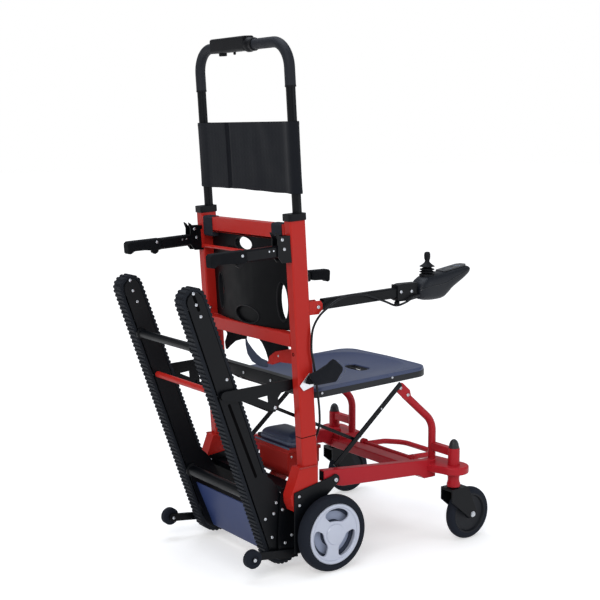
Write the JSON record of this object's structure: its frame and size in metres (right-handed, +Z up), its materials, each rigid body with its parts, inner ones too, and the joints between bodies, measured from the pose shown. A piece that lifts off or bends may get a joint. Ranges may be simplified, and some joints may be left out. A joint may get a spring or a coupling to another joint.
{
  "type": "stair climbing chair",
  "caption": "Stair climbing transport chair: red tubular frame with folding seat, tall push handle, flip-up armrests, wheels, casters and a pair of toothed climbing tracks.",
  "frame": {"origin": "on the ground under the middle of the part's bounding box", "axes": "+X towards the sitter's left, +Y towards the rear of the chair, +Z up"},
  "size_m": [0.6368, 0.936, 1.3913],
  "materials": {
    "red_enamel": "gloss red powder coat",
    "black_enamel": "satin black powder coat",
    "black_plastic": "fine moulded grain",
    "seat_plastic": "satin blow-moulded plastic",
    "foam_rubber": "matte foam",
    "nylon_cloth": "plain woven nylon",
    "rubber": "matte moulded rubber",
    "silver_enamel": "satin silver enamel",
    "navy_enamel": "satin navy powder coat",
    "bright_steel": "zinc plated"
  },
  "bodies": {
    "chassis": {"upright_right": "red_enamel", "upright_left": "red_enamel", "upright_cap_right": "black_plastic", "upright_cap_left": "black_plastic", "back_top_crossbar": "red_enamel", "back_lower_crossbar": "red_enamel", "seat_rear_bar": "black_enamel", "back_panel": "black_plastic", "lift_bracket_right": "black_enamel", "lift_bracket_left": "black_enamel", "side_plate_right": "black_enamel", "side_plate_left": "black_enamel", "base_frame": "black_enamel", "drive_housing": "red_enamel", "battery": "black_plastic", "hip_pad": "nylon_cloth", "controller_cable": "black_plastic"},
    "push_handle": {"push_handle_tube": "black_enamel", "push_grip_right": "foam_rubber", "push_grip_left": "foam_rubber", "push_handle_box": "black_plastic", "headrest_band": "nylon_cloth"},
    "height_release": {"height_release_button": "black_plastic"},
    "armrest_right": {"armrest_right": "black_enamel", "controller_case": "black_plastic"},
    "armrest_left": {"armrest_left": "black_enamel", "armrest_grip_left": "foam_rubber"},
    "joystick_gimbal": {"joystick_boot": "black_plastic"},
    "joystick": {"joystick_knob": "black_plastic"},
    "power_key": {"power_key": "black_plastic"},
    "horn_key": {"horn_key": "black_plastic"},
    "seat": {"seat_board": "seat_plastic"},
    "front_frame": {"front_frame": "red_enamel", "seat_brace_right": "black_enamel", "seat_brace_left": "black_enamel"},
    "footrest": {"footrest": "red_enamel"},
    "tracks": {"track_frame": "black_enamel", "track_cover_right": "black_enamel", "track_cover_left": "black_enamel", "track_belt_right": "rubber", "track_belt_left": "rubber", "track_cross_plate": "navy_enamel", "stow_frame": "black_enamel"},
    "drive": {"drive_shaft": "bright_steel"},
    "lift_right": {"lift_handle_right": "black_enamel", "lift_grip_right": "foam_rubber"},
    "lift_left": {"lift_handle_left": "black_enamel", "lift_grip_left": "foam_rubber"},
    "caster_right": {"caster_fork_right": "black_enamel"},
    "caster_wheel_right": {"caster_wheel_right": "rubber"},
    "caster_left": {"caster_fork_left": "black_enamel"},
    "caster_wheel_left": {"caster_wheel_left": "rubber"},
    "rear_wheel_right": {"rear_rim_right": "silver_enamel", "rear_tyre_right": "rubber"},
    "rear_roller_right": {"rear_roller_right": "rubber"},
    "rear_wheel_left": {"rear_rim_left": "silver_enamel", "rear_tyre_left": "rubber"},
    "rear_roller_left": {"rear_roller_left": "rubber"},
    "top_pulley_right": {"top_pulley_right": "bright_steel"},
    "top_pulley_left": {"top_pulley_left": "bright_steel"}
  },
  "joints": [
    {"name": "push_handle_slide", "type": "slide", "parent": "chassis", "child": "push_handle", "axis": [0, 0.0589, 0.9983], "range_m": [-0.046, 0]},
    {"name": "height_release_press", "type": "slide", "parent": "push_handle", "child": "height_release", "axis": [0, 0.0589, 0.9983], "range_m": [0, 0.003], "stiffness_N_per_m": 300},
    {"name": "armrest_right_flip", "type": "hinge", "parent": "chassis", "child": "armrest_right", "pos_m": [-0.215, 0.0955, 0.7], "axis": [-1, 0, 0], "range_deg": [0, 70]},
    {"name": "armrest_left_flip", "type": "hinge", "parent": "chassis", "child": "armrest_left", "pos_m": [0.215, 0.0955, 0.7], "axis": [-1, 0, 0], "range_deg": [0, 85]},
    {"name": "joystick_fore_aft", "type": "hinge", "parent": "armrest_right", "child": "joystick_gimbal", "pos_m": [-0.215, -0.2875, 0.752], "axis": [1, 0, 0], "range_deg": [-18, 18], "stiffness_Nm_per_rad": 0.3},
    {"name": "joystick_side", "type": "hinge", "parent": "joystick_gimbal", "child": "joystick", "pos_m": [-0.215, -0.2875, 0.752], "axis": [0, 1, 0], "range_deg": [-18, 18], "stiffness_Nm_per_rad": 0.3},
    {"name": "power_key_press", "type": "slide", "parent": "armrest_right", "child": "power_key", "axis": [0, 0.151, 0.9885], "range_m": [-0.0012, 0], "stiffness_N_per_m": 100},
    {"name": "horn_key_press", "type": "slide", "parent": "armrest_right", "child": "horn_key", "axis": [0, 0.151, 0.9885], "range_m": [-0.0012, 0], "stiffness_N_per_m": 100},
    {"name": "seat_fold", "type": "hinge", "parent": "chassis", "child": "seat", "pos_m": [0, 0.0975, 0.462], "axis": [-1, 0, 0], "range_deg": [0, 80]},
    {"name": "front_frame_fold", "type": "hinge", "parent": "chassis", "child": "front_frame", "pos_m": [0, 0.0435, 0.237], "axis": [-1, 0, 0], "range_deg": [0, 48]},
    {"name": "footrest_fold", "type": "hinge", "parent": "front_frame", "child": "footrest", "pos_m": [0, -0.3315, 0.204], "axis": [-1, 0, 0], "range_deg": [0, 90]},
    {"name": "lift_right_fold", "type": "hinge", "parent": "chassis", "child": "lift_right", "pos_m": [-0.215, 0.1995, 0.853], "axis": [-1, 0, 0], "range_deg": [0, 85]},
    {"name": "lift_left_fold", "type": "hinge", "parent": "chassis", "child": "lift_left", "pos_m": [0.215, 0.1995, 0.853], "axis": [-1, 0, 0], "range_deg": [0, 85]},
    {"name": "caster_right_swivel", "type": "hinge", "parent": "front_frame", "child": "caster_right", "pos_m": [-0.2766, -0.3399, 0.158], "axis": [0, 0, 1], "continuous": true},
    {"name": "caster_right_roll", "type": "hinge", "parent": "caster_right", "child": "caster_wheel_right", "pos_m": [-0.2766, -0.3935, 0.0745], "axis": [1, 0, 0], "continuous": true},
    {"name": "caster_left_swivel", "type": "hinge", "parent": "front_frame", "child": "caster_left", "pos_m": [0.2766, -0.3399, 0.158], "axis": [0, 0, 1], "continuous": true},
    {"name": "caster_left_roll", "type": "hinge", "parent": "caster_left", "child": "caster_wheel_left", "pos_m": [0.2766, -0.3935, 0.0745], "axis": [1, 0, 0], "continuous": true},
    {"name": "rear_wheel_right_roll", "type": "hinge", "parent": "chassis", "child": "rear_wheel_right", "pos_m": [-0.2766, 0.0715, 0.1025], "axis": [1, 0, 0], "continuous": true},
    {"name": "rear_roller_right_roll", "type": "hinge", "parent": "chassis", "child": "rear_roller_right", "pos_m": [-0.215, 0.2925, 0.065], "axis": [1, 0, 0], "continuous": true},
    {"name": "rear_wheel_left_roll", "type": "hinge", "parent": "chassis", "child": "rear_wheel_left", "pos_m": [0.2766, 0.0715, 0.1025], "axis": [1, 0, 0], "continuous": true},
    {"name": "rear_roller_left_roll", "type": "hinge", "parent": "chassis", "child": "rear_roller_left", "pos_m": [0.215, 0.2925, 0.065], "axis": [1, 0, 0], "continuous": true},
    {"name": "tracks_lean", "type": "hinge", "parent": "chassis", "child": "tracks", "pos_m": [0, 0.1745, 0.078], "axis": [-1, 0, 0], "range_deg": [0, 10]},
    {"name": "drive_spin", "type": "hinge", "parent": "tracks", "child": "drive", "pos_m": [0, 0.1745, 0.078], "axis": [1, 0, 0], "continuous": true},
    {"name": "top_pulley_right_spin", "type": "hinge", "parent": "tracks", "child": "top_pulley_right", "pos_m": [-0.164, 0.4325, 0.736], "axis": [1, 0, 0], "continuous": true},
    {"name": "top_pulley_left_spin", "type": "hinge", "parent": "tracks", "child": "top_pulley_left", "pos_m": [0.164, 0.4325, 0.736], "axis": [1, 0, 0], "continuous": true}
  ],
  "couplings": [
    {"joint": "front_frame_fold", "follows": "seat_fold", "ratio": 0.6},
    {"joint": "top_pulley_right_spin", "follows": "drive_spin", "ratio": 2},
    {"joint": "top_pulley_left_spin", "follows": "drive_spin", "ratio": 2}
  ]
}
